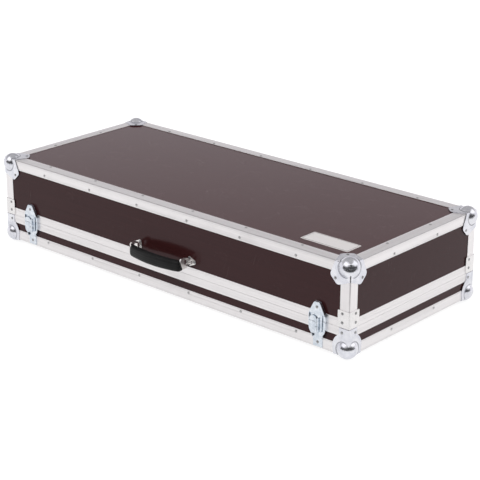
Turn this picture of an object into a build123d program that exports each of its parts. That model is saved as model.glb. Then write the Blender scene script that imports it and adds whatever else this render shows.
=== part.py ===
from build123d import *
import os
from math import sqrt

os.makedirs("parts", exist_ok=True)

# Keyboard flight case: plywood shell in two halves, aluminium edging, steel
# ball corners and braces, two butterfly latches, a carrying handle, two rear
# hinges and a foam lining.
# Frame: +X along the case (right as seen from the front), -Y towards the
# front, +Z up. Origin: bottom centre of the whole case, on the floor under
# its four lower ball corners.

# ---- driving dimensions, millimetres ---------------------------------------
LENGTH = 1040.0          # over the edging
DEPTH = 436.0
HEIGHT = 200.0
BALL_R = 22.0            # ball of a corner
BALL_IN = 13.0           # ball centre inside each outer face
BALL_OUT = BALL_R - BALL_IN
FOOT_FLAT = 0.15         # pressed flat under each foot
HANDLE_OUT = 44.0        # grip's front, out from the edging's front face
PLY = 7.0                # panel thickness
SKIN = 1.5               # edging and plate thickness
ARRIS_R = 2.5
EDGE_FLAT_TOP = 26.5     # lid edging, flange on the top face
EDGE_SIDE_TOP = 23.4     # lid edging, flange on the sides
EDGE_SIDE_BASE = 24.6    # base edging, flange on the sides
EDGE_FLAT_BASE = 26.0
CORNER_LEG = 24.4        # upright corner angles
SEAM = 60.5              # height of the seam above the edging's underside
SEAM_GAP = 0.3
CLOSURE = 18.65          # outer leg of a closure profile
FOAM = 10.0
RIVET_R, RIVET_HEAD_R, RIVET_HEAD = 2.0, 3.3, 1.2
RIVET_HOLE_R = 2.1
LATCH_LEFT, LATCH_RIGHT = -430.0, 442.0   # latch centres
HANDLE_X = 8.0           # handle centre
HANDLE_Z = 93.0          # its pivots, above the edging's underside
GRIP_LENGTH = 148.0
GRIP_DEEP, GRIP_TALL = 18.0, 25.0
GRIP_DROP = 5.5          # the grip's axis below the pivots
PIVOT_OUT = 4.0          # handle pivot, out from the edging's front face
HINGE_X = 330.0
HINGE_OUT = 4.3          # hinge axis behind the edging's rear face
KNUCKLE_R = 4.0
PAD_OUT = 6.2            # raised pad of a latch's keeper
PIN_R = 2.0

Y_MID = (HANDLE_OUT - BALL_OUT) / 2
YF, YR = Y_MID - DEPTH / 2, Y_MID + DEPTH / 2
XR = LENGTH / 2
Z0 = BALL_OUT
ZT = Z0 + HEIGHT
ZS = Z0 + SEAM
ZL = ZS + SEAM_GAP / 2   # lid's lower edge
ZB = ZS - SEAM_GAP / 2   # base's upper edge
IN = SKIN + PLY          # inner face of a panel, from the outer face

FRONT = Plane(origin=(0, YF, 0), x_dir=(1, 0, 0), z_dir=(0, -1, 0))
BACK = Plane(origin=(0, YR, 0), x_dir=(-1, 0, 0), z_dir=(0, 1, 0))
RIGHT = Plane(origin=(XR, 0, 0), x_dir=(0, 1, 0), z_dir=(1, 0, 0))
LEFT = Plane(origin=(-XR, 0, 0), x_dir=(0, -1, 0), z_dir=(-1, 0, 0))
TOP = Plane(origin=(0, 0, ZT), x_dir=(1, 0, 0), z_dir=(0, 0, 1))
BOTTOM = Plane(origin=(0, 0, Z0), x_dir=(1, 0, 0), z_dir=(0, 0, -1))
MID_X = Plane.YZ
MID_Y = Plane(origin=(0, Y_MID, 0), x_dir=(1, 0, 0), z_dir=(0, 1, 0))


# ---- fastener positions, on each face's own plane ---------------------------
# FRONT and BACK: (x, z); RIGHT and LEFT: (y, z) from the plane's own x; TOP
# and BOTTOM: (x, y), the bottom's y reversed.
RUN = [-380, -228, -76, 76, 228, 380]
SHORT = [-75, 75]


def mirrored_y(points):
    """Positions on the left or back face for those of the right or front."""
    return [(-a, b) for a, b in points]


lid_edge_points = {
    "front": [(x, ZT - 16.8) for x in RUN],
    "back": [(x, ZT - 16.8) for x in RUN],
    "right": [(Y_MID + y, ZT - 17.5) for y in SHORT],
    "left": [(-Y_MID + y, ZT - 17.5) for y in SHORT],
    "top": [(x, YF + 20.5) for x in RUN]
    + [(x, YR - 20.5) for x in RUN]
    + [(s * (XR - 19.0), Y_MID + y) for y in SHORT for s in (-1, 1)],
}
base_edge_points = {
    "front": [(x + 4, Z0 + 18.0) for x in RUN],
    "back": [(x - 4, Z0 + 18.0) for x in RUN],
    "right": [(Y_MID + y, Z0 + 16.5) for y in SHORT],
    "left": [(-Y_MID + y, Z0 + 16.5) for y in SHORT],
    "bottom": [(x, -(YF + 19.5)) for x in RUN]
    + [(x, -(YR - 19.5)) for x in RUN]
    + [(s * (XR - 19.0), -(Y_MID + y)) for y in SHORT for s in (-1, 1)],
}

EAR = 37.0               # corner rivet, from both arrises
LEG_F, LEG_S = 17.0, 19.0  # brace rivets from the upright arris, front and side


def corner_pair(inset, z):
    """Both ends of the front or back face, at one height."""
    return [(s * (XR - inset), z) for s in (-1, 1)]


def side_pair(inset, z, flip):
    """Both ends of the right or left face, at one height."""
    low, high = (YF, YR) if not flip else (-YR, -YF)
    return [(low + inset, z), (high - inset, z)]


brace_z = (ZS + 11.5, ZS + 31.0)
lid_hw_points = {
    "front": corner_pair(EAR, ZT - EAR)
    + [p for z in brace_z for p in corner_pair(LEG_F, z)],
    "back": corner_pair(EAR, ZT - EAR)
    + [p for z in brace_z for p in corner_pair(LEG_F, z)]
    + [(s * HINGE_X + x, ZS + 13) for s in (-1, 1) for x in (-24, 24)]
    + [(s * HINGE_X + x, ZS + 32) for s in (-1, 1) for x in (-12, 12)],
    "right": side_pair(EAR, ZT - EAR, False)
    + [p for z in brace_z for p in side_pair(LEG_S, z, False)],
    "left": side_pair(EAR, ZT - EAR, True)
    + [p for z in brace_z for p in side_pair(LEG_S, z, True)],
    "top": [(s * (XR - EAR), y) for s in (-1, 1) for y in (YF + EAR, YR - EAR)],
}
leg_z = Z0 + 50.0
base_hw_points = {
    "front": corner_pair(LEG_F, leg_z) + [(x, Z0 + 12.5) for x in (LATCH_LEFT, LATCH_RIGHT)],
    "back": corner_pair(LEG_F, leg_z)
    + [(s * HINGE_X + x, ZS - 13) for s in (-1, 1) for x in (-24, 24)]
    + [(s * HINGE_X + x, ZS - 32) for s in (-1, 1) for x in (-12, 12)],
    "right": side_pair(LEG_S, leg_z, False),
    "left": side_pair(LEG_S, leg_z, True),
    "bottom": [(s * (XR - EAR), -y) for s in (-1, 1) for y in (YF + EAR, YR - EAR)],
}
BRACKET_X = 82.3         # bracket centres, each side of the handle's
bracket_points = [
    (HANDLE_X + s * BRACKET_X + s * x, Z0 + HANDLE_Z + z)
    for s in (-1, 1)
    for x, z in ((8.3, 0.0), (-7.0, 7.0), (-7.0, -7.0))
]
latch_points = [(x, Z0 + 90.5) for x in (LATCH_LEFT, LATCH_RIGHT)]
FACES = {
    "front": FRONT, "back": BACK, "right": RIGHT,
    "left": LEFT, "top": TOP, "bottom": BOTTOM,
}


def drill(face, depth=12.0, *groups):
    """Cut the rivet holes of one face through the piece being built."""
    points = [p for group in groups for p in group.get(face, [])]
    if face == "front" and lid_hw_points in groups:
        points = points + bracket_points + latch_points
    with BuildSketch(FACES[face].offset(3)) as holes:
        with Locations(*points):
            Circle(RIVET_HOLE_R)
    extrude(holes.sketch, amount=-(depth + 3), mode=Mode.SUBTRACT)


def outline(plane, points):
    """A closed polygon as a face on a plane."""
    with BuildSketch(plane) as shape:
        with BuildLine():
            Polyline(*points, close=True)
        make_face()
    return shape.sketch


def slab(x0, x1, y0, y1, z0, z1):
    """A rectangular board between two corners."""
    with BuildSketch(Plane.XY.offset(z0)) as shape:
        with Locations(((x0 + x1) / 2, (y0 + y1) / 2)):
            Rectangle(x1 - x0, y1 - y0)
    extrude(shape.sketch, amount=z1 - z0)


def mitre(run):
    """Cut 45 degree mitres on a profile that runs along X or along Y."""
    big = 40.0
    for sx in (-1, 1):
        for y, sy in ((YF, 1), (YR, -1)):
            x = sx * XR
            far = (x - sx * big, y + sy * big)
            out = (x + sx * 5, y - sy * 5)
            if run == "x":
                side = [(x + sx * 5, y + sy * big)]
            else:
                side = [(x - sx * big, y - sy * 5)]
            cut = outline(Plane.XY.offset(-5), [out, far] + side)
            extrude(cut, amount=ZT + 20, mode=Mode.SUBTRACT)


def profile_x(points):
    """Extrude a (y, z) section along the case's whole length."""
    section = outline(Plane.YZ.offset(-XR), points)
    extrude(section, amount=LENGTH)


def profile_y(points):
    """Extrude an (x, z) section along the case's whole depth."""
    section = outline(
        Plane(origin=(0, YF, 0), x_dir=(1, 0, 0), z_dir=(0, -1, 0)), points
    )
    extrude(section, amount=-DEPTH)


# ---- plywood panels ---------------------------------------------------------
XI, YFI, YRI = XR - SKIN, YF + SKIN, YR - SKIN      # outer faces of the panels
XN, YFN, YRN = XR - IN, YF + IN, YR - IN            # inner faces
LID_LOW, LID_TOP = ZL + 6.5, ZT - IN
BASE_HIGH, BASE_LOW = ZB - 1.5, Z0 + IN

with BuildPart() as lid_top_panel:
    slab(-XI, XI, YFI, YRI, ZT - IN, ZT - SKIN)
    drill("top", 12.0, lid_edge_points, lid_hw_points)

with BuildPart() as lid_front_panel:
    slab(-XI, XI, YFI, YFN, LID_LOW, LID_TOP)
    drill("front", 12.0, lid_edge_points, lid_hw_points)

with BuildPart() as lid_back_panel:
    slab(-XI, XI, YRN, YRI, LID_LOW, LID_TOP)
    drill("back", 12.0, lid_edge_points, lid_hw_points)

with BuildPart() as lid_right_panel:
    slab(XN, XI, YFN, YRN, LID_LOW, LID_TOP)
    drill("right", 12.0, lid_edge_points, lid_hw_points)

with BuildPart() as lid_left_panel:
    slab(-XI, -XN, YFN, YRN, LID_LOW, LID_TOP)
    drill("left", 12.0, lid_edge_points, lid_hw_points)

with BuildPart() as base_bottom_panel:
    slab(-XI, XI, YFI, YRI, Z0 + SKIN, Z0 + IN)
    drill("bottom", 12.0, base_edge_points, base_hw_points)

with BuildPart() as base_front_panel:
    slab(-XI, XI, YFI, YFN, BASE_LOW, BASE_HIGH)
    drill("front", 12.0, base_edge_points, base_hw_points)

with BuildPart() as base_back_panel:
    slab(-XI, XI, YRN, YRI, BASE_LOW, BASE_HIGH)
    drill("back", 12.0, base_edge_points, base_hw_points)

with BuildPart() as base_right_panel:
    slab(XN, XI, YFN, YRN, BASE_LOW, BASE_HIGH)
    drill("right", 12.0, base_edge_points, base_hw_points)

with BuildPart() as base_left_panel:
    slab(-XI, -XN, YFN, YRN, BASE_LOW, BASE_HIGH)
    drill("left", 12.0, base_edge_points, base_hw_points)


# ---- aluminium edging: angles round the lid's top and the base's bottom -----
def angle(y0, sy, z0, sz, flat, side):
    """An angle section with its outer corner at (y0, z0)."""
    return [
        (y0, z0), (y0 + sy * flat, z0), (y0 + sy * flat, z0 + sz * SKIN),
        (y0 + sy * SKIN, z0 + sz * SKIN), (y0 + sy * SKIN, z0 + sz * side),
        (y0, z0 + sz * side),
    ]


def round_arris(y, z, run):
    """Round the outer corner of the angle being built."""
    axis = Axis.X if run == "x" else Axis.Y
    other = 1 if run == "x" else 0
    part = BuildPart._get_context("round_arris").part
    picked = [
        e for e in part.edges().filter_by(axis)
        if abs(tuple(e.center())[other] - y) < 0.01 and abs(e.center().Z - z) < 0.01
    ]
    fillet(picked, ARRIS_R)


with BuildPart() as lid_edge_front:
    profile_x(angle(YF, 1, ZT, -1, EDGE_FLAT_TOP, EDGE_SIDE_TOP))
    round_arris(YF, ZT, "x")
    mitre("x")
    drill("front", 12.0, lid_edge_points, lid_hw_points)
    drill("top", 12.0, lid_edge_points, lid_hw_points)

with BuildPart() as lid_edge_back:
    profile_x(angle(YR, -1, ZT, -1, EDGE_FLAT_TOP, EDGE_SIDE_TOP))
    round_arris(YR, ZT, "x")
    mitre("x")
    drill("back", 12.0, lid_edge_points, lid_hw_points)
    drill("top", 12.0, lid_edge_points, lid_hw_points)

with BuildPart() as lid_edge_right:
    profile_y(angle(XR, -1, ZT, -1, EDGE_FLAT_TOP, EDGE_SIDE_TOP))
    round_arris(XR, ZT, "y")
    mitre("y")
    drill("right", 12.0, lid_edge_points, lid_hw_points)
    drill("top", 12.0, lid_edge_points, lid_hw_points)

with BuildPart() as lid_edge_left:
    profile_y(angle(-XR, 1, ZT, -1, EDGE_FLAT_TOP, EDGE_SIDE_TOP))
    round_arris(-XR, ZT, "y")
    mitre("y")
    drill("left", 12.0, lid_edge_points, lid_hw_points)
    drill("top", 12.0, lid_edge_points, lid_hw_points)

with BuildPart() as base_edge_front:
    profile_x(angle(YF, 1, Z0, 1, EDGE_FLAT_BASE, EDGE_SIDE_BASE))
    round_arris(YF, Z0, "x")
    mitre("x")
    drill("front", 12.0, base_edge_points, base_hw_points)
    drill("bottom", 12.0, base_edge_points, base_hw_points)

with BuildPart() as base_edge_back:
    profile_x(angle(YR, -1, Z0, 1, EDGE_FLAT_BASE, EDGE_SIDE_BASE))
    round_arris(YR, Z0, "x")
    mitre("x")
    drill("back", 12.0, base_edge_points, base_hw_points)
    drill("bottom", 12.0, base_edge_points, base_hw_points)

with BuildPart() as base_edge_right:
    profile_y(angle(XR, -1, Z0, 1, EDGE_FLAT_BASE, EDGE_SIDE_BASE))
    round_arris(XR, Z0, "y")
    mitre("y")
    drill("right", 12.0, base_edge_points, base_hw_points)
    drill("bottom", 12.0, base_edge_points, base_hw_points)

with BuildPart() as base_edge_left:
    profile_y(angle(-XR, 1, Z0, 1, EDGE_FLAT_BASE, EDGE_SIDE_BASE))
    round_arris(-XR, Z0, "y")
    mitre("y")
    drill("left", 12.0, base_edge_points, base_hw_points)
    drill("bottom", 12.0, base_edge_points, base_hw_points)


def upright(z0, z1, groups):
    """The four upright corner angles between two heights."""
    section = outline(
        Plane.XY.offset(z0),
        [
            (XR, YF), (XR, YF + CORNER_LEG), (XR - SKIN, YF + CORNER_LEG),
            (XR - SKIN, YF + SKIN), (XR - CORNER_LEG, YF + SKIN),
            (XR - CORNER_LEG, YF),
        ],
    )
    extrude(section, amount=z1 - z0)
    part = BuildPart._get_context("upright").part
    fillet(
        [
            e for e in part.edges().filter_by(Axis.Z)
            if abs(e.center().X - XR) < 0.01 and abs(e.center().Y - YF) < 0.01
        ],
        ARRIS_R,
    )
    mirror(about=MID_X)
    mirror(about=MID_Y)
    for face in ("front", "back", "right", "left"):
        drill(face, 8.0, *groups)


with BuildPart() as lid_corner_edges:
    upright(ZL + CLOSURE, ZT - EDGE_SIDE_TOP, (lid_hw_points,))

with BuildPart() as base_corner_edges:
    upright(Z0 + EDGE_SIDE_BASE, ZB - CLOSURE, (base_hw_points,))


# ---- closure profiles: groove round the lid, tongue round the base ----------
def groove_section(a0, sa):
    section = [
        (0, 0), (SKIN, 0), (SKIN, 5), (IN, 5), (IN, 0), (IN + 1.5, 0),
        (IN + 1.5, 14), (IN, 14), (IN, 6.5), (SKIN, 6.5), (SKIN, CLOSURE),
        (0, CLOSURE),
    ]
    return [(a0 + sa * i, ZL + z) for i, z in section]


def tongue_section(a0, sa):
    section = [
        (0, 0), (3.2, 0), (3.2, 4.3), (5.7, 4.3), (5.7, 0), (IN + 1.5, 0),
        (IN + 1.5, -14), (IN, -14), (IN, -1.5), (SKIN, -1.5),
        (SKIN, -CLOSURE), (0, -CLOSURE),
    ]
    return [(a0 + sa * i, ZB + z) for i, z in section]


with BuildPart() as lid_closure_front:
    profile_x(groove_section(YF, 1))
    mitre("x")
    drill("front", 8.5, lid_hw_points)

with BuildPart() as lid_closure_back:
    profile_x(groove_section(YR, -1))
    mitre("x")
    drill("back", 8.5, lid_hw_points)

with BuildPart() as lid_closure_right:
    profile_y(groove_section(XR, -1))
    mitre("y")
    drill("right", 8.5, lid_hw_points)

with BuildPart() as lid_closure_left:
    profile_y(groove_section(-XR, 1))
    mitre("y")
    drill("left", 8.5, lid_hw_points)

with BuildPart() as base_closure_front:
    profile_x(tongue_section(YF, 1))
    mitre("x")
    drill("front", 8.5, base_hw_points)

with BuildPart() as base_closure_back:
    profile_x(tongue_section(YR, -1))
    mitre("x")
    drill("back", 8.5, base_hw_points)

with BuildPart() as base_closure_right:
    profile_y(tongue_section(XR, -1))
    mitre("y")
    drill("right", 8.5, base_hw_points)

with BuildPart() as base_closure_left:
    profile_y(tongue_section(-XR, 1))
    mitre("y")
    drill("left", 8.5, base_hw_points)


# ---- steel ball corners and braces -------------------------------------------
WRAP = 38.0              # a plate's reach along an arris
EAR_NEAR, EAR_FAR = 31.8, 51.0
CORNER_R, BLEND_R = 3.0, 1.0


def ear(plane, a0, sa, b0, sb):
    """The corner's plate on one face: two wings and a cut-off ear between."""

    def at(a, b):
        return (a0 + sa * a, b0 + sb * b)

    with BuildSketch(plane) as shape:
        with BuildLine():
            Polyline(
                at(-SKIN, -SKIN), at(WRAP, -SKIN), at(WRAP, 0.0),
                at(EAR_FAR, EAR_NEAR), at(EAR_NEAR, EAR_FAR),
                at(0.0, WRAP), at(-SKIN, WRAP), close=True,
            )
        make_face()
        spots = [Vector(*at(EAR_FAR, EAR_NEAR)), Vector(*at(EAR_NEAR, EAR_FAR))]
        tips = []
        for v in shape.vertices():
            here = plane.to_local_coords(v)
            if min((Vector(here.X, here.Y) - spot).length for spot in spots) < 0.1:
                tips.append(v)
        fillet(tips, 9.0)
    return shape.sketch


def lower_plate(plane, a0, sa):
    """The base corner's plate on an upright face: a leg over a wide foot."""

    def at(a, b):
        return (a0 + sa * a, Z0 + b)

    with BuildSketch(plane) as shape:
        with BuildLine():
            Polyline(
                at(24.5, 45.0), at(24.5, SEAM - 0.6), at(-SKIN, SEAM - 0.6),
                at(-SKIN, -SKIN), at(WRAP, -SKIN), at(WRAP, 0.0), at(40.5, 19.0),
            )
            ThreePointArc(at(40.5, 19.0), at(36.0, 33.5), at(24.5, 45.0))
        make_face()
    return shape.sketch


def pressed_ball(z, sz, sink=0.0):
    """The pressed ball, blended into the plates, and its hollow."""
    part = BuildPart._get_context("pressed_ball").part
    arrises = [
        e for e in part.edges()
        if e.geom_type == GeomType.LINE and e.length > 30
        and sum((
            abs(e.center().X - XR - SKIN) < 0.01,
            abs(e.center().Y - YF + SKIN) < 0.01,
            abs(e.center().Z - z - sz * SKIN) < 0.01,
        )) == 2
    ]
    fillet(arrises, CORNER_R)
    centre = (XR - BALL_IN, YF + BALL_IN, z - sz * BALL_IN + sz * sink)
    with Locations(centre):
        Sphere(BALL_R, rotation=(0, 0, 135))
    part = BuildPart._get_context("pressed_ball").part
    dome = max(
        (f for f in part.faces() if f.geom_type == GeomType.SPHERE),
        key=lambda f: f.area,
    )
    blend = [
        e for e in dome.edges()
        if not (e.geom_type == GeomType.CIRCLE and abs(e.radius - BALL_R) < 0.01)
    ]
    fillet(blend, BLEND_R)
    with Locations(centre):
        Sphere(BALL_R - SKIN, mode=Mode.SUBTRACT)
    with Locations((XR - 50, YF + 50, z - sz * 50)):
        Box(100, 100, 100, mode=Mode.SUBTRACT)


with BuildPart() as lid_ball_corners:
    extrude(ear(FRONT, XR, -1, ZT, -1), amount=SKIN)
    extrude(ear(RIGHT, YF, 1, ZT, -1), amount=SKIN)
    extrude(ear(TOP, XR, -1, YF, 1), amount=SKIN)
    pressed_ball(ZT, 1)
    mirror(about=MID_X)
    mirror(about=MID_Y)
    for side in ("front", "back", "right", "left", "top"):
        drill(side, 8.0, lid_hw_points)

with BuildPart() as base_ball_corners:
    extrude(lower_plate(FRONT, XR, -1), amount=SKIN)
    extrude(lower_plate(RIGHT, YF, 1), amount=SKIN)
    extrude(ear(BOTTOM, XR, -1, -YF, -1), amount=SKIN)
    pressed_ball(Z0, -1, FOOT_FLAT)
    # each foot is pressed flat where it stands
    with Locations((XR - BALL_IN, YF + BALL_IN, -5.0)):
        Box(12, 12, 10, mode=Mode.SUBTRACT)
    mirror(about=MID_X)
    mirror(about=MID_Y)
    for side in ("front", "back", "right", "left", "bottom"):
        drill(side, 8.0, base_hw_points)

BRACE_LOW, BRACE_HIGH = ZS + 0.9, Z0 + 98.5
with BuildPart() as lid_corner_braces:
    brace = outline(
        Plane.XY.offset(BRACE_LOW),
        [
            (XR + SKIN, YF - SKIN), (XR + SKIN, YF + 30), (XR, YF + 30),
            (XR, YF), (XR - 28.5, YF), (XR - 28.5, YF - SKIN),
        ],
    )
    extrude(brace, amount=BRACE_HIGH - BRACE_LOW)
    fillet(
        [
            e for e in lid_corner_braces.part.edges().filter_by(Axis.Z)
            if abs(e.center().X - XR - SKIN) < 0.01
            and abs(e.center().Y - YF + SKIN) < 0.01
        ],
        3.0,
    )
    ends = [
        e for e in lid_corner_braces.part.edges()
        if e.length < SKIN + 0.01
        and (abs(e.center().Y - YF - 30) < 0.01 or abs(e.center().X - XR + 28.5) < 0.01)
    ]
    fillet(ends, 3.0)
    mirror(about=MID_X)
    mirror(about=MID_Y)
    for side in ("front", "back", "right", "left"):
        drill(side, 8.0, lid_hw_points)


# ---- foam lining ---------------------------------------------------------------
with BuildPart() as lid_foam_top:
    slab(-XN, XN, YFN, YRN, LID_TOP - FOAM, LID_TOP)

with BuildPart() as lid_foam_sides:
    low, high = ZL + 15.0, LID_TOP - FOAM
    slab(-XN, XN, YFN, YFN + FOAM, low, high)
    slab(-XN, XN, YRN - FOAM, YRN, low, high)
    slab(XN - FOAM, XN, YFN + FOAM + 0.3, YRN - FOAM - 0.3, low, high)
    slab(-XN, -XN + FOAM, YFN + FOAM + 0.3, YRN - FOAM - 0.3, low, high)

with BuildPart() as base_foam_floor:
    inset = FOAM + 0.3
    slab(-XN + inset, XN - inset, YFN + inset, YRN - inset, BASE_LOW, BASE_LOW + FOAM)

with BuildPart() as base_foam_sides:
    low, high = BASE_LOW, ZB - 15.0
    slab(-XN, XN, YFN, YFN + FOAM, low, high)
    slab(-XN, XN, YRN - FOAM, YRN, low, high)
    slab(XN - FOAM, XN, YFN + FOAM + 0.3, YRN - FOAM - 0.3, low, high)
    slab(-XN, -XN + FOAM, YFN + FOAM + 0.3, YRN - FOAM - 0.3, low, high)


# ---- bare name plate on the lid -------------------------------------------------
with BuildPart() as badge_plate:
    with BuildSketch(Plane.XY.offset(ZT - SKIN)) as plate:
        with Locations((409.5, Y_MID - 143.5)):
            RectangleRounded(122, 47, 2.0)
    extrude(amount=1.0)
    fillet(badge_plate.faces().sort_by(Axis.Z)[-1].edges(), 0.3)


# ---- rivets ----------------------------------------------------------------------
# the head is a shallow spherical cap on a 0.25 mm rim
CAP_R = (RIVET_HEAD_R**2 + (RIVET_HEAD - 0.25) ** 2) / (2 * (RIVET_HEAD - 0.25))
CAP_MID = (
    RIVET_HEAD_R / 2, RIVET_HEAD - CAP_R + sqrt(CAP_R**2 - RIVET_HEAD_R**2 / 4)
)

with BuildPart() as rivet:
    with BuildSketch(Plane.XZ):
        with BuildLine():
            Polyline(
                (0, -IN + 0.2), (RIVET_R, -IN + 0.2), (RIVET_R, 0),
                (RIVET_HEAD_R, 0), (RIVET_HEAD_R, 0.25),
            )
            ThreePointArc((RIVET_HEAD_R, 0.25), CAP_MID, (0, RIVET_HEAD))
            Line((0, RIVET_HEAD), (0, -IN + 0.2))
        make_face()
    revolve(axis=Axis.Z)

with BuildPart() as plate_rivet:
    with BuildSketch(Plane.XZ):
        with BuildLine():
            Polyline(
                (0, -IN - SKIN + 0.2), (RIVET_R, -IN - SKIN + 0.2), (RIVET_R, 0),
                (RIVET_HEAD_R, 0), (RIVET_HEAD_R, 0.25),
            )
            ThreePointArc((RIVET_HEAD_R, 0.25), CAP_MID, (0, RIVET_HEAD))
            Line((0, RIVET_HEAD), (0, -IN - SKIN + 0.2))
        make_face()
    revolve(axis=Axis.Z)


# flat heads under the handle's rings
with BuildPart() as low_rivet:
    with BuildSketch(Plane.XY.offset(-IN + 0.2)):
        Circle(RIVET_R)
    extrude(amount=IN - 0.2)
    with BuildSketch(Plane.XY):
        Circle(RIVET_HEAD_R)
    extrude(amount=0.4)


def set_rivets(kind, groups, lift):
    """Rivets at every listed point, heads lifted off the edging's face."""
    places = []
    for face, points in groups.items():
        plane = FACES[face].offset(lift)
        places += [plane.location * Location((a, b, 0)) for a, b in points]
    with Locations(*places):
        add(kind.part)


with BuildPart() as lid_edge_rivets:
    set_rivets(rivet, lid_edge_points, 0.0)

with BuildPart() as base_edge_rivets:
    set_rivets(rivet, base_edge_points, 0.0)

with BuildPart() as lid_hardware_rivets:
    set_rivets(plate_rivet, lid_hw_points, SKIN)
    set_rivets(plate_rivet, {"front": latch_points}, PAD_OUT)
    set_rivets(rivet, {"front": [p for p in bracket_points if p[1] == Z0 + HANDLE_Z]}, 0.0)
    set_rivets(low_rivet, {"front": [p for p in bracket_points if p[1] != Z0 + HANDLE_Z]}, 0.0)

with BuildPart() as base_hardware_rivets:
    set_rivets(plate_rivet, base_hw_points, SKIN)


# ---- carrying handle: brackets on the lid, loops and grip that swing ------------
PIVOT_Z = Z0 + HANDLE_Z
PIVOT_Y = YF - PIVOT_OUT
RING_IN, RING_THICK = GRIP_LENGTH / 2, 3.6   # end rings, from the handle's middle
PIVOT_PIN_R, BARREL_BORE, BARREL_R = 2.0, 2.25, 4.0
BARREL = (RING_IN + RING_THICK + 0.5, RING_IN + RING_THICK + 8.0)


def bracket(side):
    """A rounded triangular plate with a barrel for the ring's pivot pin."""
    cx = HANDLE_X + side * BRACKET_X
    with BuildSketch(FRONT.offset(-SKIN)) as plate:
        with BuildLine():
            Polyline(
                (cx - side * 11.5, PIVOT_Z - 13.5), (cx - side * 11.5, PIVOT_Z + 13.5),
                (cx + side * 19, PIVOT_Z), close=True,
            )
        make_face()
        fillet(plate.vertices(), 5.0)
    extrude(plate.sketch, amount=SKIN)
    low = HANDLE_X + min(side * BARREL[0], side * BARREL[1])
    with BuildSketch(Plane.YZ.offset(low)) as barrel:
        with Locations((PIVOT_Y, PIVOT_Z)):
            Circle(BARREL_R)
        with Locations(((PIVOT_Y + YF) / 2, PIVOT_Z)):
            Rectangle(PIVOT_OUT, 2 * BARREL_R)
        with Locations((PIVOT_Y, PIVOT_Z)):
            Circle(BARREL_BORE, mode=Mode.SUBTRACT)
    extrude(barrel.sketch, amount=BARREL[1] - BARREL[0])
    drill("front", 8.0, {"front": bracket_points})


with BuildPart() as handle_bracket_left:
    bracket(-1)

with BuildPart() as handle_bracket_right:
    bracket(1)

BOW = 9.5                                  # the grip arches outwards in its middle
GRIP_OUT = HANDLE_OUT - BOW - GRIP_DEEP / 2   # axis at the grip's ends, from the face
GRIP_Y = YF - GRIP_OUT
GRIP_HALF = GRIP_LENGTH / 2


def ring_outline(plane, points, radius):
    """A closed outline in (out from the face, above the pivot)."""
    with BuildSketch(plane) as shape:
        with BuildLine():
            Polyline(*[(YF - e, PIVOT_Z + z) for e, z in points], close=True)
        make_face()
        fillet(shape.vertices(), radius)
    return shape.sketch


with BuildPart() as handle_loops:
    for side in (-1, 1):
        x = HANDLE_X + side * RING_IN
        low = min(x, x + side * RING_THICK)
        plane = Plane.YZ.offset(low)
        outer = [(1.45, 2.55), (8.0, 9.6), (16.0, 12.4), (26.0, 12.0), (29.2, 8.6),
                 (28.0, 0.0), (24.6, -9.0), (21.0, -12.6), (12.5, -12.4),
                 (6.2, -8.0), (1.45, -2.55)]
        extrude(ring_outline(plane, outer, 0.6), amount=RING_THICK)
        with BuildSketch(plane) as boss:
            with Locations((PIVOT_Y, PIVOT_Z)):
                Circle(3.6)
        extrude(boss.sketch, amount=RING_THICK)
        hole = [(8.8, -3.4), (13.6, -5.6), (16.2, -1.5), (18.4, 6.0), (16.6, 8.4),
                (9.2, 5.6)]
        extrude(
            ring_outline(plane, hole, 1.2), amount=RING_THICK, mode=Mode.SUBTRACT
        )
        pin_low = min(x + side * RING_THICK, HANDLE_X + side * (BARREL[1] + 1.6))
        with BuildSketch(Plane.YZ.offset(pin_low)) as pin:
            with Locations((PIVOT_Y, PIVOT_Z)):
                Circle(PIVOT_PIN_R)
        extrude(pin.sketch, amount=BARREL[1] + 1.6 - RING_IN - RING_THICK)
        cap_low = HANDLE_X + min(side * (BARREL[1] + 0.3), side * (BARREL[1] + 1.6))
        with BuildSketch(Plane.YZ.offset(cap_low)) as cap:
            with Locations((PIVOT_Y, PIVOT_Z)):
                Circle(2.7)
        extrude(cap.sketch, amount=1.3)

with BuildPart() as handle_grip:
    # cross-sections along the grip: an arch, a little smaller towards its ends
    ends = [(1.0, 0.80), (0.985, 0.90), (0.955, 0.94), (0.92, 0.95)]
    stations = [(-t, k) for t, k in ends]
    stations += [(i / 10, 1.0 - 0.055 * (i / 10) ** 2) for i in range(-8, 9)]
    stations += reversed(ends)
    for t, k in stations:
        with BuildSketch(
            Plane(
                origin=(
                    HANDLE_X + t * GRIP_HALF, GRIP_Y - BOW * (1 - t * t),
                    PIVOT_Z - GRIP_DROP,
                ),
                x_dir=(0, 1, 0), z_dir=(1, 0, 0),
            )
        ):
            RectangleRounded(GRIP_DEEP * k, GRIP_TALL * k, 6.2 * k)
    loft(ruled=True)


# ---- butterfly latches --------------------------------------------------------------
SPINDLE_Z = Z0 + 51.0
HOOK_STROKE = 7.0
BLADE_ROOT, BLADE_HALF = 6.3, 19.5          # the wing's hinge axis, its half height


def tub_outline(plane, cx, half, points, round_tip=None):
    with BuildSketch(plane) as shape:
        with BuildLine():
            Polyline(*[(cx + x, Z0 + z) for x, z in points], close=True)
        make_face()
        if round_tip:
            near = [
                v for v in shape.vertices() if v.Z > Z0 + round_tip[0]
            ]
            fillet(near, round_tip[1])
    return shape.sketch


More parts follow.
